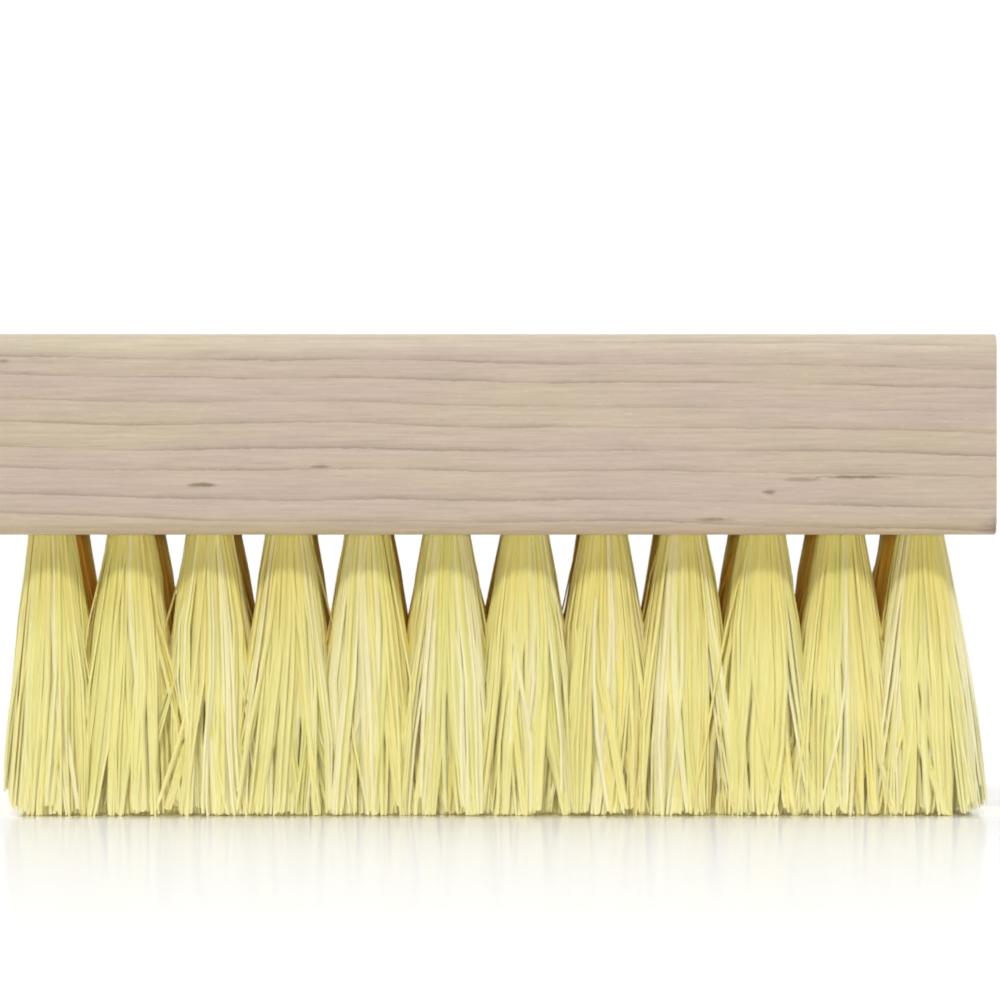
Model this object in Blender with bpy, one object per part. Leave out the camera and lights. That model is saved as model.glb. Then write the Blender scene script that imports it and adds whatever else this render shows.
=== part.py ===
"""A block brush: one solid hardwood block, drilled from below, with a fibre tuft set in each hole.

Metres, +Z up. The brush stands on its tips at z = 0, with its length along X and its front towards -Y.
Run it with: blender --background --python part.py
"""

import math

import bmesh
import bpy

# Driving dimensions, each one free to change by itself.
BLOCK_LENGTH = 0.127
BLOCK_WIDTH = 0.0445
BLOCK_THICKNESS = 0.025
LONG_EDGE_RADIUS = 0.002  # the moulded rounding of the four long edges
FIBRE_TRIM = 0.035  # fibre that shows between the block and the tips

TUFT_COLUMNS = 12  # along the block
TUFT_ROWS = 4  # from the front to the back
END_MARGIN = 0.009  # from a block end to the centres of the nearest holes
SIDE_MARGIN = 0.0074  # from a long side to the centres of the nearest holes
HOLE_DIAMETER = 0.00635  # a quarter inch drill
HOLE_DEPTH = 0.0135  # at full diameter, above which the drill leaves its cone
DRILL_POINT_ANGLE = math.radians(118)

FLARE_LENGTH = 0.009  # below the block, where the spreading tufts meet each other
OUTWARD_LEAN = 0.0039  # how far the outermost tips stand past the rim of their hole
ROOT_CLEARANCE = 0.0003  # between a tuft's root and the wall and the end of its hole
TUFT_GAP = 0.0003  # between tufts that press against each other

# How the curves are divided.
EDGE_SEGMENTS = 5
HOLE_SEGMENTS = 24
TUFT_SEGMENTS = 16

# A tuft's outline is a superellipse: 2 is round, and a higher power is squarer.
ROOT_POWER = 2.0
MEETING_POWER = 2.6
TIP_POWER = 3.6

WOOD_COLOUR = (0.604, 0.503, 0.413, 1.0)
FIBRE_COLOUR = (0.760, 0.716, 0.328, 1.0)


def clear_scene():
    for old in list(bpy.data.objects):
        bpy.data.objects.remove(old, do_unlink=True)


def plain_material(name, colour, roughness):
    material = bpy.data.materials.new(name)
    material.use_nodes = True
    shader = material.node_tree.nodes["Principled BSDF"]
    shader.inputs["Base Color"].default_value = colour
    shader.inputs["Roughness"].default_value = roughness
    shader.inputs["Metallic"].default_value = 0.0
    return material


def add_object(name, mesh, location, parent):
    obj = bpy.data.objects.new(name, mesh)
    bpy.context.scene.collection.objects.link(obj)
    obj.location = location
    obj.parent = parent
    return obj


def spaced(count, length, margin):
    """Centres of count holes that fill a length evenly between its two margins."""
    pitch = (length - 2.0 * margin) / (count - 1)
    return [margin - length / 2.0 + pitch * i for i in range(count)]


def outline(low, high, height, power, segments):
    """A ring of points on a superellipse that fills the rectangle from low to high."""
    centre = [(a + b) / 2.0 for a, b in zip(low, high)]
    half = [(b - a) / 2.0 for a, b in zip(low, high)]
    points = []
    for i in range(segments):
        angle = 2.0 * math.pi * i / segments
        unit = (math.cos(angle), math.sin(angle))
        bent = [math.copysign(abs(u) ** (2.0 / power), u) for u in unit]
        points.append((centre[0] + half[0] * bent[0], centre[1] + half[1] * bent[1], height))
    return points


def add_rings(bm, rings):
    """Rings of new vertices, from the lowest to the highest, joined by side walls."""
    levels = [[bm.verts.new(point) for point in ring] for ring in rings]
    for lower, upper in zip(levels, levels[1:]):
        for i in range(len(lower)):
            j = (i + 1) % len(lower)
            bm.faces.new((lower[i], lower[j], upper[j], upper[i]))
    return levels


def finished_mesh(bm, name, sharp_angle=math.radians(35)):
    bmesh.ops.recalc_face_normals(bm, faces=bm.faces)
    mesh = bpy.data.meshes.new(name)
    bm.to_mesh(mesh)
    bm.free()
    mesh.shade_smooth()
    mesh.set_sharp_from_angle(angle=sharp_angle)
    return mesh


def make_block(hole_centres, material, parent):
    """The block as it comes off the moulder: four long edges rounded, both ends cut square."""
    bm = bmesh.new()
    bmesh.ops.create_cube(bm, size=1.0)
    bmesh.ops.scale(bm, verts=bm.verts, vec=(BLOCK_LENGTH, BLOCK_WIDTH, BLOCK_THICKNESS))
    bmesh.ops.translate(bm, verts=bm.verts, vec=(0.0, 0.0, BLOCK_THICKNESS / 2.0))
    long_edges = [e for e in bm.edges if abs(e.verts[0].co.x - e.verts[1].co.x) > BLOCK_LENGTH / 2.0]
    bmesh.ops.bevel(
        bm,
        geom=long_edges,
        offset=LONG_EDGE_RADIUS,
        segments=EDGE_SEGMENTS,
        profile=0.5,
        affect="EDGES",
    )
    block = add_object("block", finished_mesh(bm, "block"), (0.0, 0.0, FIBRE_TRIM), parent)
    block.data.materials.append(material)

    drilling = block.modifiers.new("tuft_holes", "BOOLEAN")
    drilling.operation = "DIFFERENCE"
    drilling.solver = "EXACT"
    drilling.object = make_drill_cutter(hole_centres, block)
    return block


def make_drill_cutter(hole_centres, block):
    """One drill shape for each hole, with the cone that the drill's point leaves."""
    radius = HOLE_DIAMETER / 2.0
    cone_height = radius / math.tan(DRILL_POINT_ANGLE / 2.0)
    below_block = -HOLE_DIAMETER / 4.0
    bm = bmesh.new()
    for x, y in hole_centres:
        low, high = (x - radius, y - radius), (x + radius, y + radius)
        rings = [
            outline(low, high, height, ROOT_POWER, HOLE_SEGMENTS)
            for height in (below_block, HOLE_DEPTH)
        ]
        mouth, end = add_rings(bm, rings)
        bm.faces.new(mouth)
        point = bm.verts.new((x, y, HOLE_DEPTH + cone_height))
        for i in range(HOLE_SEGMENTS):
            bm.faces.new((end[i], end[(i + 1) % HOLE_SEGMENTS], point))
    cutter = add_object("hole_cutter", finished_mesh(bm, "hole_cutter"), (0.0, 0.0, 0.0), block)
    cutter.hide_render = True
    cutter.display_type = "WIRE"
    return cutter


def sides(index, centres):
    """A tuft's lower and upper side along one axis, each as its reach at the tips and where it gets there."""
    pressed = ((centres[1] - centres[0] - TUFT_GAP) / 2.0, min(FLARE_LENGTH, FIBRE_TRIM))
    leaning = (HOLE_DIAMETER / 2.0 + OUTWARD_LEAN, FIBRE_TRIM)
    last = len(centres) - 1
    return leaning if index == 0 else pressed, leaning if index == last else pressed


def reach(side, depth):
    """How far a side stands from the tuft's centre at a depth below the block."""
    root = HOLE_DIAMETER / 2.0 - ROOT_CLEARANCE
    full_reach, run = side
    return root + (full_reach - root) * min(max(depth, 0.0) / run, 1.0)


def make_tuft(name, place, x_sides, y_sides, material, parent):
    """One tuft: a round root in its hole, then a flare that ends level at the trimmed tips."""
    levels = [
        (-(HOLE_DEPTH - ROOT_CLEARANCE), ROOT_POWER),
        (0.0, ROOT_POWER),
        (min(FLARE_LENGTH, FIBRE_TRIM / 2.0), MEETING_POWER),
        (FIBRE_TRIM, TIP_POWER),
    ]
    rings = []
    for depth, power in reversed(levels):
        left, right = [reach(side, depth) for side in x_sides]
        front, back = [reach(side, depth) for side in y_sides]
        rings.append(outline((-left, -front), (right, back), -depth, power, TUFT_SEGMENTS))
    bm = bmesh.new()
    tips, *_, root = add_rings(bm, rings)
    bm.faces.new(tips)
    bm.faces.new(root)
    tuft = add_object(name, finished_mesh(bm, name), (place[0], place[1], FIBRE_TRIM), parent)
    tuft.data.materials.append(material)
    return tuft


def make_brush():
    clear_scene()
    brush = bpy.data.objects.new("brush", None)
    bpy.context.scene.collection.objects.link(brush)

    columns = spaced(TUFT_COLUMNS, BLOCK_LENGTH, END_MARGIN)
    rows = spaced(TUFT_ROWS, BLOCK_WIDTH, SIDE_MARGIN)
    hole_centres = [(x, y) for y in rows for x in columns]
    make_block(hole_centres, plain_material("wood", WOOD_COLOUR, 0.6), brush)
    for row, y in enumerate(rows):
        for column, x in enumerate(columns):
            name = f"tuft_r{row + 1}_c{column + 1:02d}"
            material = plain_material(name, FIBRE_COLOUR, 0.5)
            make_tuft(name, (x, y), sides(column, columns), sides(row, rows), material, brush)


make_brush()
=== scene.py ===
"""Block brush: a drilled hardwood block with a folded bunch of stiff fibres anchored in each hole.

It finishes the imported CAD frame, in metres, +Z up, with the tips at z = 0 and the front towards -Y.
"""

import math

import bmesh
import bpy
import numpy as np
from bpy.props import FloatProperty, FloatVectorProperty, IntProperty, PointerProperty
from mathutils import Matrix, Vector


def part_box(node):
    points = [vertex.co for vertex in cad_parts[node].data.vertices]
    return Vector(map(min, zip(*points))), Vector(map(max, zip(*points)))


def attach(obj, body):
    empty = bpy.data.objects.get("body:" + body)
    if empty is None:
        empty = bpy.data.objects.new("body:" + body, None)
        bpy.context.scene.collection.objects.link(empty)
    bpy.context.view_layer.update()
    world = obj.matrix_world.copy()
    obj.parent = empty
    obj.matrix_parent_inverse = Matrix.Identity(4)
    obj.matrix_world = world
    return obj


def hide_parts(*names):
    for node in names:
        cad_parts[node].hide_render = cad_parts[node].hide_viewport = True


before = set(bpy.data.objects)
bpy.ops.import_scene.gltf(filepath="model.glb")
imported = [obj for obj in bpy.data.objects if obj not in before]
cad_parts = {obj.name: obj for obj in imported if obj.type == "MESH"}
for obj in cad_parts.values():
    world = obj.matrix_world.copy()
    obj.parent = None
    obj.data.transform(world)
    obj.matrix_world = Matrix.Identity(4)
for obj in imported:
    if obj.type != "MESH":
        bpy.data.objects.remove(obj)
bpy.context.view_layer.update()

bl_info = {
    "name": "Block Brush",
    "version": (1, 0, 0),
    "blender": (4, 5, 0),
    "location": "View3D > Sidebar > Brush",
    "description": "Builds a drilled hardwood block brush with folded, anchored fibre tufts",
    "category": "Add Mesh",
}

MM = 0.001
ROWS = 4
COLUMNS = 12

# Where the growth rings end, in mm outwards from the pith, which lies above the block.
RING_RADII = (104.2, 106.9, 109.6, 112.4, 114.7, 117.7, 120.3, 123.2, 125.6, 129.1, 131.6, 134.5, 137.0)
PITH_HEIGHT = 165.0  # mm
PITH_BEHIND = 7.0  # mm
RING_SLOPE = 0.014  # how much the rings drop along the block

# Mineral flecks of the front: place along and up, half length and half height, in mm, and strength.
FLECKS = (
    (-35.4, 41.2, 2.6, 0.40, 0.85),
    (-20.6, 43.5, 1.6, 0.28, 0.70),
    (35.2, 40.3, 1.1, 0.45, 0.80),
    (28.3, 36.9, 3.4, 0.34, 0.65),
    (45.9, 42.2, 6.6, 0.30, 0.85),
    (39.4, 41.9, 3.6, 0.42, 0.50),
    (-59.9, 56.6, 1.0, 0.45, 0.65),
)
FLECK_DEPTH = 5.0  # mm into the block
PLANER_PITCH = 1.9  # mm between the marks of the planer's knives

# A fibre's rings below the block, as parts of its free length from the tip up to the hole's mouth.
FREE_STATIONS = (1.0, 0.96, 0.75, 0.53, 0.33, 0.15, 0.0)
RINGS = 2 * (len(FREE_STATIONS) + 1) + 1
OVAL = (1.45, 0.70)  # a fibre is oval, and its flat side faces out of the tuft

# How the fibres and their locks stray from an even spread.
SQUARENESS = 3.4  # power of the superellipse that a tuft's tips fill
TUFT_SPREAD = 3.7  # mm that an outer tuft leans out from its mouth to its tips
PRESSED_HASTE, FREE_HASTE = 2.05, 1.25  # how soon a side reaches its full width
DRIFT, STRAY_DRIFT = 0.20 * MM, 1.7 * MM  # sideways, at the tips
LOCK_RISE, FIBRE_RISE = 0.48 * MM, 0.24 * MM  # how much shorter
BROKEN_SHARE, BROKEN_RISE = 0.05, (0.5 * MM, 3.5 * MM)
FIBRE_WAVE, FIBRE_TURN = 0.15 * MM, 7.5  # size, and radians over the free length
LOCK_WAVE, LOCK_TURN = (0.42 * MM, 0.22 * MM), 7.0
FULL_TURN = 6.28

# The trimming cut's rounding at the left end, and its slope and run at the right end.
LEFT_TRIM = 2.8 * MM
RIGHT_TRIM, RIGHT_TRIM_RUN = 0.9 * MM, 5.2 * MM


# -------------------- settings


def length(name, description, default):
    kind = {"min": 0.0, "precision": 5, "subtype": "DISTANCE", "unit": "LENGTH"}
    return FloatProperty(name=name, description=description, default=default, **kind)


def colour(name, description, default):
    kind = {"min": 0.0, "max": 1.0, "size": 3, "subtype": "COLOR"}
    return FloatVectorProperty(name=name, description=description, default=default, **kind)


def share(name, description, default, high=1.0):
    kind = {"min": 0.0, "max": high, "subtype": "FACTOR"}
    return FloatProperty(name=name, description=description, default=default, **kind)


def number(name, description, default, low, high):
    return IntProperty(name=name, description=description, default=default, min=low, max=high)


class BlockSettings(bpy.types.PropertyGroup):
    edge_radius: length("Edge radius", "Moulded rounding of the four long edges", 0.002)
    end_easing: length("End easing", "Sanded corner round each sawn end", 0.00018)
    hole_diameter: length("Hole diameter", "Drilled hole of each tuft", 0.00635)
    hole_depth: length("Hole depth", "Depth of each hole at full diameter", 0.0135)
    chip_size: length("Chip", "Size of the chip out of the lower right corner", 0.0008)
    wood: colour("Wood", "Early wood of each growth ring", (0.525, 0.427, 0.346))
    late_wood: colour("Late wood", "Dark line that ends each growth ring", (0.29, 0.222, 0.165))
    end_grain: colour("End grain", "Wood sawn across the grain", (0.44, 0.335, 0.245))


class AnchorSettings(bpy.types.PropertyGroup):
    span: length("Length", "Length of the flat wire across the hole, biting into both walls", 0.0075)
    height: length("Height", "Height of the flat wire", 0.0020)
    thickness: length("Thickness", "Thickness of the flat wire", 0.0004)
    depth: length("Depth", "From the block's underside to the lower edge of the wire", 0.0084)
    metal: colour("Metal", "Tinned steel wire", (0.62, 0.61, 0.58))


class TuftSettings(bpy.types.PropertyGroup):
    fibres: number("Fibres", "Fibres folded into each tuft", 250, 8, 300)
    fibre_diameter: length("Fibre diameter", "Thickness of one fibre", 0.00034)
    left_reach: length("Left reach", "How far the left end tufts lean out at their tips", 0.0054)
    right_reach: length("Right reach", "How far the right end tufts lean out at their tips", 0.0080)
    side_reach: length("Side reach", "How far the front and back tufts lean out at their tips", 0.0069)
    mingling: share("Mingling", "Reach into the next tuft, as a part of half the spacing", 1.22, 2.0)
    clumping: share("Clumping", "How much neighbouring fibres draw together at the tips", 0.52)
    strays: share("Strays", "Part of the fibres that cross the others", 0.10)
    bunches: number("Locks", "Locks that the fibres of a tuft draw into", 60, 4, 100)
    swing: length("Swing", "How far the locks wander across each other towards the tips", 0.0017)
    pale: colour("Pale fibre", "Bleached fibres", (0.865, 0.82, 0.49))
    straw: colour("Straw fibre", "Most of the fibres", (0.825, 0.755, 0.315))
    golden: colour("Golden fibre", "Warm fibres", (0.84, 0.725, 0.20))


class StageSettings(bpy.types.PropertyGroup):
    camera_distance: length("Camera distance", "From the front tufts to the camera", 0.795)
    camera_height: length("Camera height", "Above the floor", 0.0418)
    sky: share("Soft light", "Brightness of the white surroundings in front", 0.10, 3.0)
    backdrop: share("Backdrop light", "Brightness of the white sweep behind the brush", 1.30, 3.0)
    key: share("Key light", "Brightness of the light from above the camera", 0.575, 3.0)
    fill: share("Fill light", "Brightness of the soft light round the camera", 0.23, 3.0)
    floor: colour("Floor", "White table top", (0.868, 0.868, 0.868))


# -------------------- modelling


def link_in(piece):
    bpy.context.scene.collection.objects.link(piece)


def leave_edit():
    if bpy.context.mode != "OBJECT":
        bpy.ops.object.mode_set(mode="OBJECT")
    bpy.ops.object.select_all(action="DESELECT")


def pick(piece):
    """Leaves edit mode and selects this piece only."""
    leave_edit()
    piece.select_set(True)
    bpy.context.view_layer.objects.active = piece


def enter_edit(piece):
    pick(piece)
    bpy.ops.object.mode_set(mode="EDIT")


def choose_all():
    bpy.ops.mesh.select_all(action="SELECT")


def choose(piece, kind, test):
    """Selects only the vertices, edges or faces of the piece being edited that pass a test."""
    bpy.ops.mesh.select_mode(type={"verts": "VERT", "edges": "EDGE", "faces": "FACE"}[kind])
    bpy.ops.mesh.select_all(action="DESELECT")
    mesh = bmesh.from_edit_mesh(piece.data)
    for part in getattr(mesh, kind):
        if test(part):
            part.select_set(True)
    mesh.select_flush_mode()
    bmesh.update_edit_mesh(piece.data)


def add_box(name, low, high):
    leave_edit()
    size = [b - a for a, b in zip(low, high)]
    middle = [(a + b) / 2.0 for a, b in zip(low, high)]
    bpy.ops.mesh.primitive_cube_add(size=1.0, location=middle, scale=size)
    piece = bpy.context.active_object
    piece.name = piece.data.name = name
    bpy.ops.object.transform_apply(location=True, rotation=True, scale=True)
    return piece


def cut(piece, cutter):
    """Takes the cutter's shape out of the piece and removes the cutter."""
    pick(piece)
    carving = piece.modifiers.new("carving", "BOOLEAN")
    carving.operation = "DIFFERENCE"
    carving.solver = "EXACT"
    carving.object = cutter
    bpy.ops.object.modifier_apply(modifier=carving.name)
    bpy.data.objects.remove(cutter, do_unlink=True)


def copy_at(pattern, name, place):
    """A copy of the pattern at a place, with its own mesh."""
    copy = pattern.copy()
    copy.data = pattern.data.copy()
    copy.name = copy.data.name = name
    link_in(copy)
    copy.location = place
    return copy


def copies(pattern, moves, name):
    """One object that joins a copy of the pattern at each move; the pattern goes."""
    made = [copy_at(pattern, name, move) for move in moves]
    leave_edit()
    for copy in made:
        copy.select_set(True)
    bpy.context.view_layer.objects.active = made[0]
    bpy.ops.object.join()
    joined = bpy.context.active_object
    joined.name = name
    bpy.ops.object.transform_apply(location=True, rotation=True, scale=True)
    bpy.data.objects.remove(pattern, do_unlink=True)
    return joined


def finish_piece(piece, material, node=None):
    """Gives a piece its material and its place in the frame."""
    leave_edit()
    piece.data.materials.clear()
    piece.data.materials.append(material)
    if node:
        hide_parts(node)
    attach(piece, "root")


# -------------------- the frame's places


def tuft_places():
    """(row, column, root centre) of each tuft, from the round top of its CAD solid."""
    places = []
    for row in range(1, ROWS + 1):
        for column in range(1, COLUMNS + 1):
            name = f"tuft_r{row}_c{column:02d}"
            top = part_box(name)[1].z
            ring = [v.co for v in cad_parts[name].data.vertices if v.co.z > top - 0.1 * MM]
            xs, ys = [v.x for v in ring], [v.y for v in ring]
            places.append((row, column, Vector(((min(xs) + max(xs)) / 2.0, (min(ys) + max(ys)) / 2.0, top))))
    return places


# -------------------- node helpers


def feed(tree, made, inputs):
    """Gives a node's named or numbered inputs their values or links."""
    for key, value in inputs.items():
        if isinstance(value, bpy.types.NodeSocket):
            tree.links.new(value, made.inputs[key])
        else:
            made.inputs[key].default_value = value
    return made


def node(tree, kind, inputs=None, **settings):
    made = tree.nodes.new("ShaderNode" + kind)
    for key, value in settings.items():
        setattr(made, key, value)
    return feed(tree, made, inputs or {})


def sums(tree, operation, first, second=0.0, third=0.0):
    """One step of arithmetic on values or links."""
    return node(tree, "Math", {0: first, 1: second, 2: third}, operation=operation).outputs[0]


def times(tree, first, second):
    return sums(tree, "MULTIPLY", first, second)


def plus(tree, first, second):
    return sums(tree, "ADD", first, second)


def minus(tree, first, second):
    return sums(tree, "SUBTRACT", first, second)


def vectors(tree, operation, first, second=(0.0, 0.0, 0.0)):
    """One step of arithmetic on vectors."""
    return node(tree, "VectorMath", {0: first, 1: second}, operation=operation).outputs[0]


def length_of(tree, vector):
    return node(tree, "VectorMath", {0: vector}, operation="LENGTH").outputs["Value"]


def axes_of(tree, vector):
    return node(tree, "SeparateXYZ", {0: vector}).outputs


def stretched(tree, vector, scale, offset=(0.0, 0.0, 0.0)):
    """Coordinates scaled on each axis, for a pattern that is longer one way."""
    return vectors(tree, "ADD", vectors(tree, "MULTIPLY", vector, scale), offset)


def noise(tree, vector, detail=2.0, roughness=0.5):
    inputs = {"Vector": vector, "Scale": 1.0, "Detail": detail, "Roughness": roughness}
    return node(tree, "TexNoise", inputs).outputs[0]


def ranged(tree, value, low, high, to_low=0.0, to_high=1.0, smooth=False):
    """A value moved from one range to another, and held at its ends."""
    kind = "SMOOTHSTEP" if smooth else "LINEAR"
    made = node(
        tree,
        "MapRange",
        {"Value": value, "From Min": low, "From Max": high, "To Min": to_low, "To Max": to_high},
        interpolation_type=kind,
    )
    return made.outputs[0]


def waver(tree, vector, scale, reach, detail=2.0, roughness=0.5, offset=(0.0, 0.0, 0.0)):
    """Noise that goes from -reach to reach."""
    pattern = noise(tree, stretched(tree, vector, scale, offset), detail, roughness)
    return ranged(tree, pattern, 0.0, 1.0, -reach, reach)


def blended(tree, factor, first, second, mode="MIX"):
    """Two colours, each a value or a link, mixed by a factor."""
    made = node(tree, "Mix", data_type="RGBA", blend_type=mode)
    for socket, value in ((made.inputs[0], factor), (made.inputs[6], first), (made.inputs[7], second)):
        if isinstance(value, bpy.types.NodeSocket):
            tree.links.new(value, socket)
        else:
            socket.default_value = value if isinstance(value, float) else (*value, 1.0)[:4]
    return made.outputs[2]


def shaded(tree, base, light):
    """A colour made lighter or darker by a value."""
    grey = node(tree, "CombineColor", {0: light, 1: light, 2: light}).outputs[0]
    return blended(tree, 1.0, base, grey, "MULTIPLY")


def tinted(shade, factors):
    """A plain colour with its red, green and blue each multiplied."""
    return tuple(part * factor for part, factor in zip(shade, factors))


def from_sides(tree, place):
    """How far a point, in mm, is past the middle, and the block's half length and half width, in mm."""
    size = [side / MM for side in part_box("block")[1][:2]]
    return vectors(tree, "ABSOLUTE", place), size


def new_group(name, vectors_in, values_out):
    """An empty node group that takes vectors and puts out values, then its input and its output node."""
    group = bpy.data.node_groups.new(name, "ShaderNodeTree")
    for title, default in vectors_in.items():
        socket = group.interface.new_socket(name=title, in_out="INPUT", socket_type="NodeSocketVector")
        socket.default_value = default
    for title in values_out:
        group.interface.new_socket(name=title, in_out="OUTPUT", socket_type="NodeSocketFloat")
    return group, group.nodes.new("NodeGroupInput"), group.nodes.new("NodeGroupOutput")


def use_group(tree, group, inputs):
    return feed(tree, node(tree, "Group", node_tree=group), inputs)


def new_material(name):
    material = bpy.data.materials.new(name)
    material.use_nodes = True
    tree = material.node_tree
    return material, tree, tree.nodes["Principled BSDF"]


def bumped(tree, height, strength, distance):
    made = node(tree, "Bump", {"Height": height, "Strength": strength, "Distance": distance})
    return made.outputs[0]


def millimetres(tree):
    """The place on the piece, in mm."""
    place = node(tree, "TexCoord").outputs["Object"]
    return node(tree, "VectorMath", {0: place, "Scale": 1000.0}, operation="SCALE").outputs[0]


# -------------------- wood


def growth_ring_group():
    """Growth rings round a pith above the block: the dark share of each ring, and which ring it is."""
    group, given, result = new_group("Growth Rings", {"Vector": (0.0, 0.0, 0.0)}, ("Late", "Ring"))
    place = given.outputs["Vector"]
    axes = axes_of(group, place)
    wander = waver(group, place, (0.018, 0.05, 0.06), 1.2, 1.0, offset=(3.1, 0.0, 7.7))
    ripple = waver(group, place, (0.09, 0.25, 0.3), 0.22)
    fray = waver(group, place, (0.7, 1.6, 1.6), 0.17, 3.0, 0.6)

    across = minus(group, axes["Y"], PITH_BEHIND)
    slope = times(group, axes["X"], RING_SLOPE)
    fall = minus(group, PITH_HEIGHT, plus(group, axes["Z"], slope))
    squares = [times(group, side, side) for side in (across, fall)]
    radius = sums(group, "SQRT", plus(group, *squares))
    for shift in (wander, ripple, fray):
        radius = plus(group, radius, shift)

    first, last = RING_RADII[0], RING_RADII[-1]
    count = len(RING_RADII) - 1
    curve = node(group, "FloatCurve", {"Value": ranged(group, radius, first, last)})
    points = curve.mapping.curves[0].points
    for i, ring in enumerate(RING_RADII):
        at = ((ring - first) / (last - first), i / count)
        if i == 0:
            points[0].location = at
        elif i == count:
            points[-1].location = at
        else:
            points.new(*at)
    for point in points:
        point.handle_type = "VECTOR"
    curve.mapping.update()
    phase = times(group, curve.outputs[0], float(count))
    part = sums(group, "FRACT", phase)
    ring = sums(group, "FLOOR", phase)

    # Each ring darkens slowly and ends in a thin dark line, stronger in some rings, that comes and goes.
    slow = times(group, sums(group, "POWER", part, 3.0), 0.32)
    sharp = times(group, sums(group, "POWER", part, 13.0), 0.68)
    line = plus(group, slow, sharp)
    own = node(group, "TexWhiteNoise", {"W": ring}, noise_dimensions="1D").outputs[0]
    own = ranged(group, own, 0.0, 1.0, 0.55, 1.0)
    further = times(group, axes["X"], 0.045)
    along = node(group, "CombineXYZ", {"X": further, "Y": times(group, ring, 5.3)}).outputs[0]
    fade = ranged(group, noise(group, along, 2.0), 0.34, 0.60, 0.28, 1.0, smooth=True)
    line = times(group, line, times(group, own, fade))
    group.links.new(line, result.inputs["Late"])
    group.links.new(ring, result.inputs["Ring"])
    return group


def fleck_group():
    """One spindle-shaped fleck at a place, soft at its rim."""
    inputs = {"Vector": (0.0, 0.0, 0.0), "Place": (0.0, 0.0, 0.0), "Size": (1.0, 1.0, 1.0)}
    group, given, result = new_group("Fleck", inputs, ("Mask",))
    place = given.outputs["Vector"]
    away = vectors(group, "SUBTRACT", place, given.outputs["Place"])
    reach = length_of(group, vectors(group, "DIVIDE", away, given.outputs["Size"]))
    reach = plus(group, reach, waver(group, place, (0.8, 3.0, 3.0), 0.6))
    mask = ranged(group, reach, 1.0, 0.15, smooth=True)
    group.links.new(mask, result.inputs["Mask"])
    return group


def grain_group():
    """Fine grain that runs along the block: streaks, short pores and pale flecks."""
    outputs = ("Streaks", "Pores", "Pale")
    group, given, result = new_group("Fine Grain", {"Vector": (0.0, 0.0, 0.0)}, outputs)
    place = given.outputs["Vector"]
    streaks = noise(group, stretched(group, place, (0.10, 2.2, 2.4)), 3.0, 0.6)
    pores = noise(group, stretched(group, place, (0.45, 4.6, 5.0), (11.0, 0.0, 0.0)), 3.0, 0.65)
    pale = noise(group, stretched(group, place, (0.8, 3.8, 4.4), (0.0, 5.0, 9.0)), 3.0, 0.6)
    group.links.new(streaks, result.inputs["Streaks"])
    group.links.new(ranged(group, pores, 0.54, 0.74), result.inputs["Pores"])
    group.links.new(ranged(group, pale, 0.62, 0.74), result.inputs["Pale"])
    return group


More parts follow.
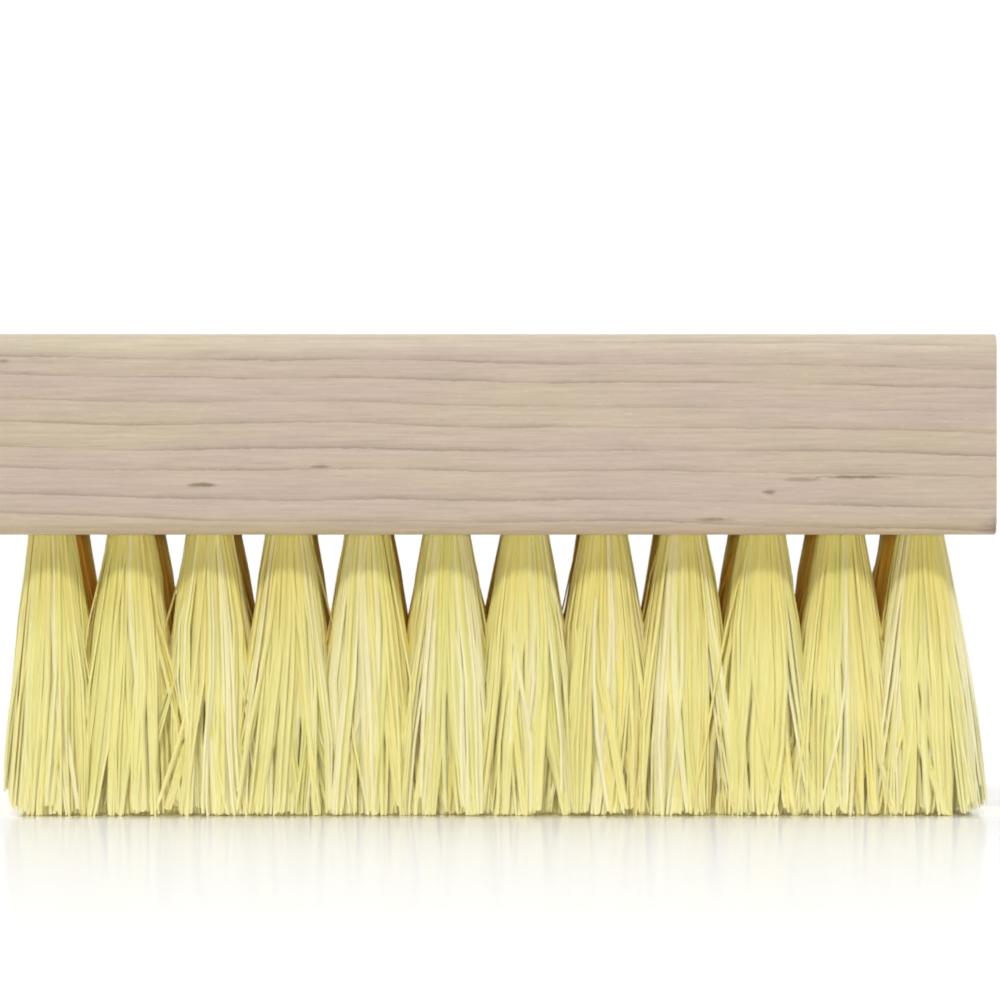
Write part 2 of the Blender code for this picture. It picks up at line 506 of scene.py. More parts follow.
def wood_material(settings):
    material, tree, shader = new_material("hardwood")
    place = millimetres(tree)
    axes = axes_of(tree, place)
    low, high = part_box("block")
    rings = use_group(tree, growth_ring_group(), {"Vector": place}).outputs
    grain = use_group(tree, grain_group(), {"Vector": place}).outputs

    broad = noise(tree, stretched(tree, place, (0.03, 0.12, 0.16), (0.0, 2.0, 4.0)), 2.0)
    warm = tinted(settings.wood, (1.02, 1.03, 0.93))
    rosy = tinted(settings.wood, (1.0, 0.965, 0.985))
    base = blended(tree, ranged(tree, broad, 0.35, 0.65), rosy, warm)
    top, bottom = high.z / MM, low.z / MM
    planed = ranged(tree, axes["Z"], top - 1.2, top - 0.1, 1.0, 0.3, smooth=True)
    base = blended(tree, times(tree, rings["Late"], planed), base, settings.late_wood)
    light = ranged(tree, grain["Streaks"], 0.25, 0.75, 0.87, 1.12)
    base = shaded(tree, base, light)
    base = blended(tree, times(tree, grain["Pale"], 0.35), base, (0.72, 0.60, 0.49))
    base = blended(tree, times(tree, grain["Pores"], 0.30), base, (0.34, 0.27, 0.20))

    # Painted highlight: a band under the top edge is made paler and yellower, where the rounded edge catches
    # the light from above. Painted shade: a band along the bottom edge is made darker and warmer.
    painted_top_highlight = ranged(tree, axes["Z"], top - 3.4, top - 1.0, smooth=True)
    base = blended(tree, painted_top_highlight, base, (1.12, 1.20, 1.16), "MULTIPLY")
    # Painted shade: darker, warmer wood along the bottom edge, where the rounded edge turns away from the
    # light.
    painted_bottom_shade = ranged(tree, axes["Z"], bottom + 3.2, bottom + 0.8, smooth=True)
    base = blended(tree, painted_bottom_shade, base, (0.97, 0.965, 0.89), "MULTIPLY")

    fleck = fleck_group()
    for along, up, half_length, half_height, strength in FLECKS:
        size = (half_length, FLECK_DEPTH, half_height)
        inputs = {"Vector": place, "Place": (along, low.y / MM, up), "Size": size}
        spot = use_group(tree, fleck, inputs).outputs[0]
        base = blended(tree, times(tree, spot, strength), base, (0.20, 0.155, 0.085))

    # Sawn ends: darker, with pores seen end on and the marks of the saw.
    facing = axes_of(tree, node(tree, "TexCoord").outputs["Normal"])["X"]
    end = ranged(tree, sums(tree, "ABSOLUTE", facing), 0.75, 0.98)
    dots = noise(tree, stretched(tree, place, (0.5, 5.0, 5.0)), 2.0)
    saw = noise(tree, stretched(tree, place, (1.0, 2.6, 0.18)), 2.0)
    dotted = ranged(tree, dots, 0.42, 0.62)
    sawn = blended(tree, dotted, settings.end_grain, settings.late_wood)
    sawn = blended(tree, ranged(tree, saw, 0.5, 0.75, 0.0, 0.35), sawn, settings.wood)
    sawn = blended(tree, times(tree, rings["Late"], 0.7), sawn, (0.22, 0.15, 0.10))
    base = blended(tree, times(tree, end, 0.8), base, sawn)

    # The bruise round the chipped corner.
    corner = (high.x / MM, low.y / MM, bottom + 0.7)
    bruise = use_group(tree, fleck, {"Vector": place, "Place": corner, "Size": (2.6, 2.6, 1.9)}).outputs[0]
    base = blended(tree, times(tree, bruise, 0.55), base, (0.20, 0.15, 0.14))
    rough = plus(tree, ranged(tree, grain["Streaks"], 0.3, 0.7, 0.56, 0.68), times(tree, end, 0.15))
    feed(tree, shader, {"Base Color": base, "Roughness": rough, "Specular IOR Level": 0.35})

    planer = sums(tree, "SINE", times(tree, axes["X"], 2.0 * math.pi / PLANER_PITCH))
    # The relief, as parts of the bump's height.
    height = times(tree, grain["Streaks"], 0.9)
    height = minus(tree, height, times(tree, grain["Pores"], 0.45))
    height = minus(tree, height, times(tree, rings["Late"], 0.4))
    height = plus(tree, height, times(tree, planer, 0.05))
    height = plus(tree, height, times(tree, times(tree, saw, end), 1.2))
    feed(tree, shader, {"Normal": bumped(tree, height, 0.6, 0.00006)})
    return material


def model_drill(settings):
    """A drill's shape: a straight side, the cone of its point, and a slight flare at the mouth."""
    leave_edit()
    radius = settings.hole_diameter / 2.0
    ease = 0.12 * MM
    below = 0.5 * MM  # how far under the block the shape starts
    start = radius + ease + below
    location = (0.0, 0.0, -below)
    bpy.ops.mesh.primitive_circle_add(vertices=32, radius=start, fill_type="NGON", location=location)
    drill = bpy.context.active_object
    bpy.ops.object.transform_apply(location=True)
    enter_edit(drill)
    choose_all()
    steps = (
        (below, (radius + ease) / start),
        (ease, radius / (radius + ease)),
        (settings.hole_depth - ease, 1.0),
    )
    for rise, shrink in steps:
        bpy.ops.mesh.extrude_region_move(TRANSFORM_OT_translate={"value": (0.0, 0.0, rise)})
        bpy.ops.transform.resize(value=(shrink, shrink, 1.0))
    point = (0.0, 0.0, 0.6 * radius)
    bpy.ops.mesh.extrude_region_move(TRANSFORM_OT_translate={"value": point})
    bpy.ops.mesh.merge(type="CENTER")
    choose_all()
    bpy.ops.mesh.normals_make_consistent(inside=False)
    leave_edit()
    return drill


class BRUSH_OT_block(bpy.types.Operator):
    """Models the hardwood block with rounded long edges, sawn ends and a drilled hole for each tuft"""

    bl_idname = "brush_piece.block"
    bl_label = "Block"
    bl_options = {"REGISTER", "UNDO"}

    def execute(self, context):
        settings = context.scene.brush_block
        wire = context.scene.brush_anchor
        low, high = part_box("block")
        block = add_box("drilled_block", low, high)
        enter_edit(block)
        choose(block, "edges", lambda e: abs(e.verts[0].co.x - e.verts[1].co.x) > 0.5 * (high.x - low.x))
        bpy.ops.mesh.bevel(offset=settings.edge_radius, segments=9, profile=0.5, affect="EDGES")

        def round_an_end(edge):
            faces = [abs(face.normal.x) for face in edge.link_faces]
            return max(faces) > 0.9 and min(faces) < 0.1

        choose(block, "edges", round_an_end)
        bpy.ops.mesh.bevel(offset=settings.end_easing, segments=2, profile=0.5, affect="EDGES")
        leave_edit()

        mouths = [(place.x, place.y, low.z) for _, _, place in tuft_places()]
        cut(block, copies(model_drill(settings), mouths, "drills"))
        groove = add_box(
            "groove",
            (-0.6 * wire.thickness, -wire.span / 2.0, -0.5 * MM),
            (0.6 * wire.thickness, wire.span / 2.0, wire.depth + wire.height),
        )
        cut(block, copies(groove, mouths, "grooves"))
        self.chip_corner(block, Vector((high.x, low.y, low.z)), settings.chip_size)
        pick(block)
        bpy.ops.object.shade_smooth_by_angle(angle=math.radians(32))
        finish_piece(block, wood_material(settings), node="block")
        return {"FINISHED"}

    def chip_corner(self, block, corner, size):
        """Breaks a small rough bite out of one corner."""
        leave_edit()
        place = corner + Vector((0.35 * size, 0.25 * size, 0.85 * size))
        bpy.ops.mesh.primitive_ico_sphere_add(subdivisions=3, radius=size, location=place)
        bite = bpy.context.active_object
        bpy.ops.object.transform_apply(location=True)
        enter_edit(bite)
        choose_all()
        bpy.ops.transform.vertex_random(offset=0.12 * size, uniform=1.0, seed=4)
        leave_edit()
        cut(block, bite)


# -------------------- anchors


def wire_material(settings):
    material, tree, shader = new_material("tinned_wire")
    place = millimetres(tree)
    drawn = noise(tree, stretched(tree, place, (8.0, 0.6, 8.0)), 3.0)
    spots = noise(tree, stretched(tree, place, (1.4, 1.4, 1.4)), 3.0)
    dull = tuple(c * 0.72 for c in settings.metal)
    shade = blended(tree, ranged(tree, drawn, 0.35, 0.65), settings.metal, dull)
    shade = blended(tree, ranged(tree, spots, 0.6, 0.75, 0.0, 0.5), shade, (0.30, 0.26, 0.21))
    rough = ranged(tree, spots, 0.3, 0.7, 0.28, 0.5)
    feed(tree, shader, {"Base Color": shade, "Roughness": rough, "Metallic": 1.0})
    feed(tree, shader, {"Normal": bumped(tree, drawn, 0.3, 0.00002)})
    return material


def model_anchor(settings, base):
    """A piece of flat wire with sheared, pointed ends, bowed a little over the fold of the bunch."""
    half = (settings.thickness / 2.0, settings.span / 2.0)
    anchor = add_box("anchor", (-half[0], -half[1], base), (half[0], half[1], base + settings.height))
    enter_edit(anchor)
    middle = base + settings.height / 2.0
    for cut_at in (-0.38, -0.2, 0.0, 0.2, 0.38):
        choose_all()
        bpy.ops.mesh.bisect(plane_co=(0.0, cut_at * settings.span, middle), plane_no=(0.0, 1.0, 0.0))
    choose(anchor, "verts", lambda v: abs(v.co.y) > 0.49 * settings.span and v.co.z < middle)
    bpy.ops.transform.translate(value=(0.0, 0.0, 0.55 * settings.height))
    choose(anchor, "verts", lambda v: abs(v.co.y) < 0.1 * settings.span)
    bpy.ops.transform.translate(value=(0.0, 0.0, -0.08 * settings.height))
    choose_all()
    bpy.ops.mesh.bevel(offset=0.12 * settings.thickness, segments=1, affect="EDGES")
    choose_all()
    bpy.ops.mesh.normals_make_consistent(inside=False)
    pick(anchor)
    bpy.ops.object.shade_smooth_by_angle(angle=math.radians(40))
    return anchor


class BRUSH_OT_anchors(bpy.types.Operator):
    """Models one flat wire anchor and sets a copy across each hole, over the fold of its bunch"""

    bl_idname = "brush_piece.anchors"
    bl_label = "Anchors"
    bl_options = {"REGISTER", "UNDO"}

    def execute(self, context):
        settings = context.scene.brush_anchor
        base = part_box("block")[0].z + settings.depth
        pattern = model_anchor(settings, base)
        material = wire_material(settings)
        for row, column, place in tuft_places():
            anchor = copy_at(pattern, f"anchor_r{row}_c{column:02d}", (place.x, place.y, 0.0))
            pick(anchor)
            bpy.ops.object.transform_apply(location=True)
            finish_piece(anchor, material)
        bpy.data.objects.remove(pattern, do_unlink=True)
        return {"FINISHED"}


# -------------------- tufts


def fibre_material(settings):
    """Stiff yellow fibre, worn paler at the tips, with painted shade and light: darker gold at the roots,
    deep orange inside the brush, and greyer fibres at its two ends.
    """
    material, tree, shader = new_material("stiff_fibre")
    tone = node(tree, "Attribute", attribute_name="tone").outputs["Fac"]
    along = node(tree, "Attribute", attribute_name="along").outputs["Fac"]
    ramp = node(tree, "ValToRGB", {0: tone})
    olive = tinted(settings.straw, (0.94, 0.985, 0.88))
    blush = tinted(settings.pale, (0.985, 0.955, 0.96))
    shades = ((0.0, settings.golden), (0.16, settings.straw), (0.45, settings.straw), (0.62, olive))
    shades += ((0.78, settings.pale), (0.92, blush), (1.0, settings.pale))
    stops = ramp.color_ramp.elements
    while len(stops) < len(shades):
        stops.new(0.5)
    for stop, (at, shade) in zip(stops, shades):
        stop.position = at
        stop.color = (*shade, 1.0)
    spread = times(tree, tone, 400.0)
    own = node(tree, "CombineXYZ", {"X": spread, "Y": times(tree, along, 5.0)}).outputs[0]
    patches = noise(tree, own, 2.0)
    base = shaded(tree, ramp.outputs[0], ranged(tree, patches, 0.3, 0.7, 0.94, 1.02))
    # Painted shade: the fibres turn a darker, deeper gold towards the roots, in the block's shadow.
    painted_root_shade = ranged(tree, along, 0.06, 0.55, 1.0, 0.0, smooth=True)
    base = blended(tree, painted_root_shade, base, (0.88, 0.835, 0.64), "MULTIPLY")
    place = millimetres(tree)
    mirrored, size = from_sides(tree, place)
    inward = axes_of(tree, vectors(tree, "SUBTRACT", (*size, 0.0), mirrored))
    # The tufts spread outwards to their tips, so the same depth in a tuft lies nearer to the sides there.
    depth = sums(tree, "MULTIPLY_ADD", along, TUFT_SPREAD, sums(tree, "MINIMUM", inward["X"], inward["Y"]))
    # Painted shade: fibres deep inside the brush, towards their roots, turn deep orange, as shade lit only
    # by light that has passed through many fibres.
    hidden = ranged(tree, depth, 6.5, 12.0, smooth=True)
    painted_inner_shade = times(tree, hidden, ranged(tree, along, 0.64, 0.96, 0.95, 0.06))
    base = blended(tree, painted_inner_shade, base, (0.99, 0.69, 0.09))
    # Painted light: the fibres near the brush's two ends turn greyer and paler, as where less light bounces
    # among neighbouring fibres.
    ends = ranged(tree, inward["X"], 0.0, 7.0, 0.6, 0.0, smooth=True)
    base = blended(tree, ends, base, (0.74, 0.74, 0.48))
    worn = ranged(tree, along, 0.86, 1.0, 0.0, 0.35)
    base = blended(tree, worn, base, settings.pale)
    rough = ranged(tree, patches, 0.3, 0.7, 0.42, 0.58)
    feed(tree, shader, {"Base Color": base, "Roughness": rough, "Specular IOR Level": 0.10})
    ridges = noise(tree, stretched(tree, place, (16.0, 16.0, 0.7)), 2.0)
    feed(tree, shader, {"Normal": bumped(tree, ridges, 0.2, 0.00003)})
    return material


def model_fibre():
    """One straight fibre of unit radius, a unit from ring to ring, with a thinner cut tip at both ends."""
    leave_edit()
    bpy.ops.mesh.primitive_circle_add(vertices=4, radius=1.0, fill_type="NGON", location=(0.0, 0.0, 0.0))
    fibre = bpy.context.active_object
    enter_edit(fibre)
    choose_all()
    for _ in range(RINGS - 1):
        bpy.ops.mesh.extrude_region_move(TRANSFORM_OT_translate={"value": (0.0, 0.0, 1.0)})
    for ring, size in ((0, 0.55), (RINGS - 1, 0.55), (1, 0.92), (RINGS - 2, 0.92)):
        choose(fibre, "verts", lambda v, ring=ring: abs(v.co.z - ring) < 0.5)
        bpy.ops.transform.resize(value=(size, size, 1.0))
    choose_all()
    bpy.ops.transform.resize(value=(*OVAL, 1.0))
    bpy.ops.mesh.normals_make_consistent(inside=False)
    leave_edit()
    mesh = fibre.data
    corners = np.array([v.co[:] for v in mesh.vertices])
    faces = np.array([p.vertices[:] for p in mesh.polygons])
    bpy.data.objects.remove(fibre, do_unlink=True)
    return corners, faces


def fibre_map(corners, faces):
    """Where each face corner of the fibre lies on a flat strip: round the fibre, then along it."""
    spots = np.zeros((len(faces), 4, 2))
    for i, face in enumerate(faces):
        rings = corners[face, 2]
        turn = np.arctan2(corners[face, 1] / OVAL[1], corners[face, 0] / OVAL[0]) / (2.0 * math.pi) % 1.0
        turn = np.round(turn * 4.0) / 4.0
        if rings.max() - rings.min() > 0.5:
            turn = np.where((turn == 0.0) & (turn.max() > 0.7), 1.0, turn)
            spots[i] = np.stack([0.06 + 0.88 * turn, 0.02 + 0.96 * rings / (RINGS - 1)], axis=1)
        else:
            end = 0.004 if rings.max() < 0.5 else 0.986
            square = np.array([(0.2, 0.0), (0.8, 0.0), (0.8, 0.01), (0.2, 0.01)])
            spots[i] = square + (0.0, end)
    return spots


class Reach:
    """How far a tuft's tips stand from the centre of its hole on one side, and how soon they get there."""

    def __init__(self, distance, haste, free):
        self.distance = distance
        self.haste = haste
        self.free = free
        self.calm = 0.4 if free else 1.0  # fibres that lean on nothing wander less

    def limit(self, root, part):
        """How far a fibre may stand out on this side at a part of its free length."""
        if not self.free:
            return 1.0
        return root + (self.distance - root) * (1.0 - (1.0 - part) ** self.haste) + 0.35 * MM


def tuft_sides(settings, row, column, pitch):
    """The left, right, front and back reach of a tuft: pressed by a neighbour, or free."""
    along, across = [Reach(gap / 2.0 * settings.mingling, PRESSED_HASTE, False) for gap in pitch]
    sides = (
        (column == 1, settings.left_reach, along),
        (column == COLUMNS, settings.right_reach, along),
        (row == 1, settings.side_reach, across),
        (row == ROWS, settings.side_reach, across),
    )
    return [Reach(reach, FREE_HASTE, True) if outer else pressed for outer, reach, pressed in sides]


def disc_points(count, turn):
    """Evenly packed points in a unit disc, in the spiral of a seed head."""
    i = np.arange(count) + 0.5
    radius = np.sqrt(i / count)
    angle = i * math.pi * (3.0 - math.sqrt(5.0)) + turn
    return np.stack([radius * np.cos(angle), radius * np.sin(angle)], axis=1)


def by_side(unit, low_side, high_side, axis, what):
    return np.where(unit[:, axis] > 0, getattr(high_side, what), getattr(low_side, what))


def fibre_legs(rng, settings, roots, sides):
    """Each leg's way from the hole's mouth (part 0) to its tip (part 1), its rise, root and lock's tone."""
    left, right, front, back = sides
    count = len(roots)
    off_centre = np.hypot(roots[:, 0], roots[:, 1]).clip(1e-6)
    cosine, sine = np.abs(roots[:, 0]) / off_centre, np.abs(roots[:, 1]) / off_centre
    square = (cosine**SQUARENESS + sine**SQUARENESS) ** (-1.0 / SQUARENESS)
    unit = roots * (square * off_centre**-0.5)[:, None]

    distance, haste, calm = (
        np.stack([by_side(unit, left, right, 0, what), by_side(unit, front, back, 1, what)], axis=1)
        for what in ("distance", "haste", "calm")
    )
    haste = haste * rng.normal(1.0, 0.06, (count, 1))
    tips = unit * distance * rng.normal(1.0, 0.02, (count, 1))

    # Neighbouring fibres cling together in locks, which narrow to their tips and cross each other.
    locks = settings.bunches
    clumps = disc_points(locks, rng.uniform(0.0, FULL_TURN)) * rng.normal(1.0, 0.08, (locks, 1))
    nearest = np.argmin(((roots[:, None, :] - clumps[None, :, :]) ** 2).sum(axis=2), axis=1)
    clump_tips = np.stack(
        [tips[nearest == c].mean(axis=0) if (nearest == c).any() else (0.0, 0.0) for c in range(locks)]
    )
    swing = rng.normal(0.0, 1.0, (locks, 2)) * (settings.swing, 0.5 * settings.swing)
    swing = swing[nearest] * calm
    onset = rng.uniform(0.20, 0.62, locks)[nearest, None]
    cling = settings.clumping * (clump_tips[nearest] - tips)

    stray = rng.uniform(size=count) < settings.strays
    drift = rng.normal(0.0, DRIFT, (count, 2)) + stray[:, None] * rng.normal(0.0, STRAY_DRIFT, (count, 2))
    clump_rise = np.clip(rng.normal(0.0, LOCK_RISE, locks), 0.0, None)
    rise = clump_rise[nearest] + np.abs(rng.normal(0.0, FIBRE_RISE, count))
    rise += (rng.uniform(size=count) < BROKEN_SHARE) * rng.uniform(*BROKEN_RISE, count)

    hole = bpy.context.scene.brush_block.hole_diameter
    root_radius = 0.96 * hole / 2.0 - 0.52 * settings.fibre_diameter
    root = roots * root_radius
    flare = tips - root
    phase = rng.uniform(0.0, FULL_TURN, (count, 2))
    wave = np.abs(rng.normal(0.0, FIBRE_WAVE, (count, 2)))
    lock_phase = rng.uniform(0.0, FULL_TURN, (locks, 2))[nearest]
    lock_wave = (np.abs(rng.normal(0.0, 1.0, (locks, 2))) * LOCK_WAVE)[nearest] * calm
    ways = []
    for part in FREE_STATIONS:
        go = 1.0 - (1.0 - part) ** haste
        way = root + flare * go
        swung = np.clip((part - onset) / (1.0 - onset), 0.0, 1.0) ** 1.3
        way = way + cling * part**2.2 + swing * swung + drift * part
        grown = math.sin(math.pi * min(part * 1.4, 1.0) / 2.0)
        way = way + wave * np.sin(phase + FIBRE_TURN * part) * grown
        way = way + lock_wave * np.sin(lock_phase + LOCK_TURN * part) * part**0.8
        for axis, ends in enumerate(((left, right), (front, back))):
            lower, upper = (end.limit(root_radius, part) for end in ends)
            way[:, axis] = held_in(way[:, axis], -lower, upper)
        ways.append(way)
    return np.stack(ways, axis=1), rise, root, rng.uniform(size=locks)[nearest]


def trimmed(along, left, right):
    """How much shorter the fibres are where the trimming cut rounds off at the left and right end."""
    if left.free:
        corner = np.clip(1.0 - (along + left.distance) / LEFT_TRIM, 0.0, 1.0)
        return LEFT_TRIM * (1.0 - np.sqrt(1.0 - corner**2))
    if right.free:
        return RIGHT_TRIM * np.clip(1.0 - (right.distance - along) / RIGHT_TRIM_RUN, 0.0, 1.0) ** 2
    return np.zeros(len(along))


def held_in(places, low, high):
    """Places eased back inside two limits, gently over the last stretch before each."""
    soft = 0.6 * MM
    over = np.clip(places - (high - soft), 0.0, None)
    under = np.clip((low + soft) - places, 0.0, None)
    return places - over + soft * np.tanh(over / soft) + under - soft * np.tanh(under / soft)


def tuft_paths(rng, settings, wire, sides, place, mouth):
    """Points of each folded fibre, up one leg, over the anchor and down the other, and each leg's tone."""
    count = settings.fibres
    low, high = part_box("block")
    roots = disc_points(2 * count, rng.uniform(0.0, FULL_TURN))
    roots = roots[np.argsort(roots[:, 0])]
    halves = [roots[count:], roots[:count] * (-1.0, 1.0)]
    halves = [half[np.lexsort((half[:, 0], np.round(half[:, 1] * 4.0)))] for half in halves]
    legs = [halves[0], halves[1] * (-1.0, 1.0)]
    parts, rises, tops, tones = [], [], [], []
    for leg in legs:
        leg = leg + rng.normal(0.0, 0.012, leg.shape)
        way, rise, root, tone = fibre_legs(rng, settings, leg, sides)
        rise = rise + trimmed(way[:, 0, 0], sides[0], sides[1])
        parts.append(way)
        rises.append(rise)
        tops.append(root)
        tones.append(tone)
    mean_depth = (np.abs(tops[0][:, 0]) + np.abs(tops[1][:, 0])) / 2.0
    fold = mouth + wire.depth + wire.height + 0.55 * settings.fibre_diameter + 0.82 * mean_depth
    path = np.zeros((count, RINGS, 3))
    stations = np.array(FREE_STATIONS)
    fold_ring = len(FREE_STATIONS) + 1
    for side, (way, rise, top) in enumerate(zip(parts, rises, tops)):
        heights = rise[:, None] + (mouth - rise[:, None]) * (1.0 - stations[None, :])
        leg = np.concatenate([way, heights[:, :, None]], axis=2)
        shoulder = np.stack([top[:, 0], top[:, 1], fold - 0.75 * np.abs(top[:, 0]) - 0.5 * MM], axis=1)
        leg = np.concatenate([leg, shoulder[:, None, :]], axis=1)
        if side == 0:
            path[:, :fold_ring] = leg
        else:
            path[:, fold_ring + 1 :] = leg[:, ::-1]
    path[:, fold_ring] = np.stack([0.0 * fold, (tops[0][:, 1] + tops[1][:, 1]) / 2.0, fold], axis=1)
    path = path + np.array([place.x, place.y, 0.0])
    edge = 0.7 * settings.fibre_diameter
    for axis in (0, 1):
        path[:, :, axis] = held_in(path[:, :, axis], low[axis] + edge, high[axis] - edge)
    return path, tones


def fibre_rolls(rng, path, place):
    """How far each ring of each fibre is rolled, so that its flat side faces out of the tuft."""
    middle = FREE_STATIONS.index(0.53)
    first, second = path[:, middle, :2] - place[:2], path[:, -1 - middle, :2] - place[:2]
    up = math.pi / 2.0 - np.arctan2(first[:, 1], first[:, 0]) + rng.normal(0.0, 0.22, len(path))
    down = math.pi / 2.0 + np.arctan2(second[:, 1], second[:, 0]) + rng.normal(0.0, 0.22, len(path))
    down -= math.pi * np.round((down - up) / math.pi)
    leg = RINGS // 2
    return np.stack([up] * leg + [(up + down) / 2.0] + [down] * leg, axis=1)


def laid_fibres(name, rng, settings, pattern, path, tones, place):
    """A tuft's mesh: a copy of the modelled fibre bent along each path."""
    corners, faces, flat = pattern
    count = len(path)
    steps = np.gradient(path, axis=1)
    ahead = steps / np.linalg.norm(steps, axis=2, keepdims=True)
    across = np.array([0.0, 1.0, 0.0]) - ahead[:, :, 1:2] * ahead
    across /= np.linalg.norm(across, axis=2, keepdims=True)
    third = np.cross(ahead, across)

    ring = np.round(corners[:, 2]).astype(int)
    roll = fibre_rolls(rng, path, place)[:, ring]
    section = np.stack(
        [
            corners[:, 0] * np.cos(roll) - corners[:, 1] * np.sin(roll),
            corners[:, 0] * np.sin(roll) + corners[:, 1] * np.cos(roll),
        ],
        axis=2,
    )
    radius = settings.fibre_diameter / 2.0 * rng.normal(1.0, 0.12, (count, 1)).clip(0.7, 1.3)
    section = section * radius[:, :, None]
    points = path[:, ring] + section[:, :, 0:1] * third[:, ring] + section[:, :, 1:2] * across[:, ring]
    points[:, :, 2] = points[:, :, 2].clip(0.0, None)

    order = faces[None, :, :] + (np.arange(count) * len(corners))[:, None, None]
    mesh = bpy.data.meshes.new(name)
    mesh.from_pydata(points.reshape(-1, 3).tolist(), [], order.reshape(-1, 4).tolist())
    mesh.shade_flat()
    leg_tones = np.where(ring < RINGS // 2, tones[0][:, None], tones[1][:, None])
    shades = np.clip(0.75 * leg_tones + 0.35 * rng.uniform(size=(count, 1)) - 0.05, 0.0, 1.0)
    ring_along = np.array([*FREE_STATIONS, 0.0, 0.0, 0.0, *FREE_STATIONS[::-1]])
    for title, values in (("tone", shades.reshape(-1)), ("along", np.tile(ring_along[ring], count))):
        mesh.attributes.new(title, "FLOAT", "POINT").data.foreach_set("value", values)
    layer = mesh.uv_layers.new(name="OFBake")
    strips = np.repeat(flat[None], count, axis=0)
    strips[:, :, :, 0] = (strips[:, :, :, 0] + np.arange(count)[:, None, None]) / count
    layer.data.foreach_set("uv", strips.reshape(-1))
    mesh.update()
    return mesh


class BRUSH_OT_tufts(bpy.types.Operator):
    """Models one fibre and lays its copies, folded over the anchors, as the tuft of each hole"""

    bl_idname = "brush_piece.tufts"
    bl_label = "Tufts"
    bl_options = {"REGISTER", "UNDO"}

    def execute(self, context):
        settings = context.scene.brush_tuft
        wire = context.scene.brush_anchor
        corners, faces = model_fibre()
        pattern = (corners, faces, fibre_map(corners, faces))
        material = fibre_material(settings)
        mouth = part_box("block")[0].z
        places = tuft_places()
        pitch = (places[1][2].x - places[0][2].x, places[COLUMNS][2].y - places[0][2].y)
        for row, column, place in places:
            rng = np.random.default_rng(100 * row + column)
            sides = tuft_sides(settings, row, column, pitch)
            path, tones = tuft_paths(rng, settings, wire, sides, place, mouth)
            name = f"fibres_r{row}_c{column:02d}"
            tuft = bpy.data.objects.new(name, laid_fibres(name, rng, settings, pattern, path, tones, place))
            link_in(tuft)
            finish_piece(tuft, material, node=f"tuft_r{row}_c{column:02d}")
        return {"FINISHED"}


# -------------------- stage


def floor_material(settings):
    """A white table top with a blurred sheen round the brush and a painted yellow pool of bounce light at
    its foot, clear from below and lit under the tips.
    """
    material = bpy.data.materials.new("table_top")
    material.use_nodes = True
    tree = material.node_tree
    tree.nodes.clear()
    place = millimetres(tree)
    mirrored, size = from_sides(tree, place)
    beyond = vectors(tree, "MAXIMUM", vectors(tree, "SUBTRACT", mirrored, (*size, 0.0)))
    away = length_of(tree, beyond)
    broad, near = ranged(tree, away, 0.0, 250.0, 0.31, 0.0), ranged(tree, away, 0.0, 8.0, 0.42, 0.0)
    gloss = plus(tree, broad, near)
    white = tuple(settings.floor)
    # Painted light: the table turns yellow within 4 mm of the brush, a painted pool of light bounced through
    # the fibres.
    painted_bounce_yellow = tinted(white, (1.06, 1.0, 0.68))
    glow = ranged(tree, away, 0.0, 4.0, 0.85, 0.0, smooth=True)
    matte = node(tree, "BsdfDiffuse", {"Color": blended(tree, glow, white, painted_bounce_yellow)}).outputs[0]
    sheen = node(tree, "BsdfGlossy", {"Color": (1.0, 1.0, 1.0, 1.0), "Roughness": 0.12}).outputs[0]
    top = node(tree, "MixShader", {0: gloss, 1: matte, 2: sheen}).outputs[0]
    clear = node(tree, "BsdfTransparent").outputs[0]
    # The floor is open to light, but not to the camera, under the tips.
    sides = axes_of(tree, mirrored)
    along = sums(tree, "LESS_THAN", sides["X"], size[0] - 6.5)
    across = sums(tree, "LESS_THAN", sides["Y"], size[1] - 4.5)
    unseen = minus(tree, 1.0, node(tree, "LightPath").outputs["Is Camera Ray"])
    window = times(tree, times(tree, along, across), unseen)
    window = sums(tree, "MAXIMUM", node(tree, "NewGeometry").outputs["Backfacing"], window)
    surface = node(tree, "MixShader", {0: window, 1: top, 2: clear}).outputs[0]
    output = node(tree, "OutputMaterial")
    tree.links.new(surface, output.inputs["Surface"])
    return material


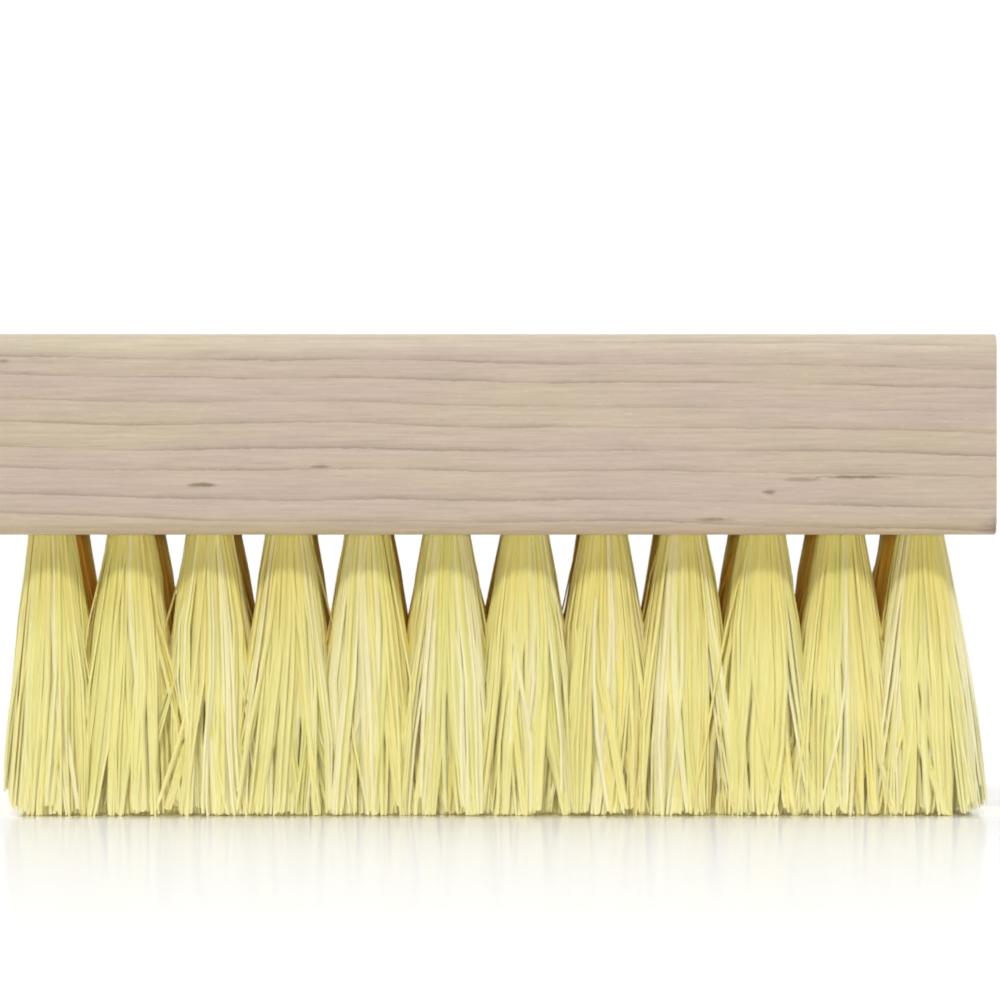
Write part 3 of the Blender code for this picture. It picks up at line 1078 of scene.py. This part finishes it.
class BRUSH_OT_stage(bpy.types.Operator):
    """Sets out the white table top, the soft studio light and the camera"""

    bl_idname = "brush_piece.stage"
    bl_label = "Stage"
    bl_options = {"REGISTER", "UNDO"}

    def execute(self, context):
        settings = context.scene.brush_stage
        leave_edit()
        bpy.ops.mesh.primitive_plane_add(size=12.0, location=(0.0, 0.0, 0.0))
        floor = context.active_object
        floor.name = "table_top"
        floor.data.materials.append(floor_material(settings))

        world = bpy.data.worlds.new("studio")
        context.scene.world = world
        world.use_nodes = True
        tree = world.node_tree
        tree.nodes.clear()
        rays = node(tree, "LightPath").outputs
        seen = sums(tree, "MAXIMUM", rays["Is Camera Ray"], rays["Is Glossy Ray"])
        white = (1.0, 1.0, 1.0, 1.0)
        toward = axes_of(tree, node(tree, "TexCoord").outputs["Generated"])["Y"]
        glow = ranged(tree, toward, -0.35, 0.35, settings.sky, settings.backdrop, smooth=True)
        soft = node(tree, "Background", {"Color": white, "Strength": glow}).outputs[0]
        plain = node(tree, "Background", {"Color": white, "Strength": 1.05}).outputs[0]
        surface = node(tree, "MixShader", {0: seen, 1: soft, 2: plain}).outputs[0]
        output = node(tree, "OutputWorld")
        tree.links.new(surface, output.inputs["Surface"])

        lens = bpy.data.cameras.new("camera")
        lens.lens = 228.0
        lens.sensor_width = 36.0
        lens.clip_start = 0.01
        camera = bpy.data.objects.new("camera", lens)
        link_in(camera)
        front_row = tuft_places()[0][2].y
        camera.location = (-2.7 * MM, front_row - settings.camera_distance, settings.camera_height)
        camera.rotation_euler = (math.radians(90.0 - 0.18), 0.0, math.radians(-0.32))
        context.scene.camera = camera

        light = bpy.data.lights.new("key", "SUN")
        light.angle = math.radians(8.0)
        light.energy = settings.key * math.pi
        up = math.radians(57.0)
        direction = Vector((-0.06, -math.cos(up), math.sin(up))).normalized()
        self.add_lamp(light, 1.5 * direction)
        light = bpy.data.lights.new("fill", "POINT")
        light.shadow_soft_size = 0.05
        light.energy = settings.fill * (2.0 * math.pi * settings.camera_distance) ** 2
        self.add_lamp(light, camera.location)
        context.scene.view_settings.view_transform = "Standard"
        context.scene.cycles.filter_width = 2.0
        context.scene.cycles.diffuse_bounces = 28
        context.scene.cycles.max_bounces = 32
        return {"FINISHED"}

    def add_lamp(self, light, location):
        """Places a lamp that looks at the middle of the brush's footprint."""
        lamp = bpy.data.objects.new(light.name, light)
        link_in(lamp)
        lamp.location = location
        lamp.rotation_euler = Vector(location).to_track_quat("Z", "Y").to_euler()


# -------------------- add-on


class BRUSH_PT_panel(bpy.types.Panel):
    """Lists the brush's pieces in the order they are made"""

    bl_idname = "BRUSH_PT_panel"
    bl_label = "Block Brush"
    bl_space_type = "VIEW_3D"
    bl_region_type = "UI"
    bl_category = "Brush"

    def draw(self, context):
        for operator, group in STEPS:
            box = self.layout.box()
            box.operator(operator.bl_idname)
            settings = getattr(context.scene, group)
            for prop in settings.bl_rna.properties:
                if prop.identifier not in {"rna_type", "name"}:
                    box.prop(settings, prop.identifier)


STEPS = (
    (BRUSH_OT_block, "brush_block"),
    (BRUSH_OT_anchors, "brush_anchor"),
    (BRUSH_OT_tufts, "brush_tuft"),
    (BRUSH_OT_stage, "brush_stage"),
)
GROUPS = {
    "brush_block": BlockSettings,
    "brush_anchor": AnchorSettings,
    "brush_tuft": TuftSettings,
    "brush_stage": StageSettings,
}


def register():
    for name, group in GROUPS.items():
        bpy.utils.register_class(group)
        setattr(bpy.types.Scene, name, PointerProperty(type=group))
    for operator, _ in STEPS:
        bpy.utils.register_class(operator)
    bpy.utils.register_class(BRUSH_PT_panel)


def unregister():
    bpy.utils.unregister_class(BRUSH_PT_panel)
    for operator, _ in reversed(STEPS):
        bpy.utils.unregister_class(operator)
    for name, group in GROUPS.items():
        delattr(bpy.types.Scene, name)
        bpy.utils.unregister_class(group)


def main():
    register()
    bpy.ops.brush_piece.block()
    bpy.ops.brush_piece.anchors()
    bpy.ops.brush_piece.tufts()
    bpy.ops.brush_piece.stage()


if __name__ == "__main__":
    main()
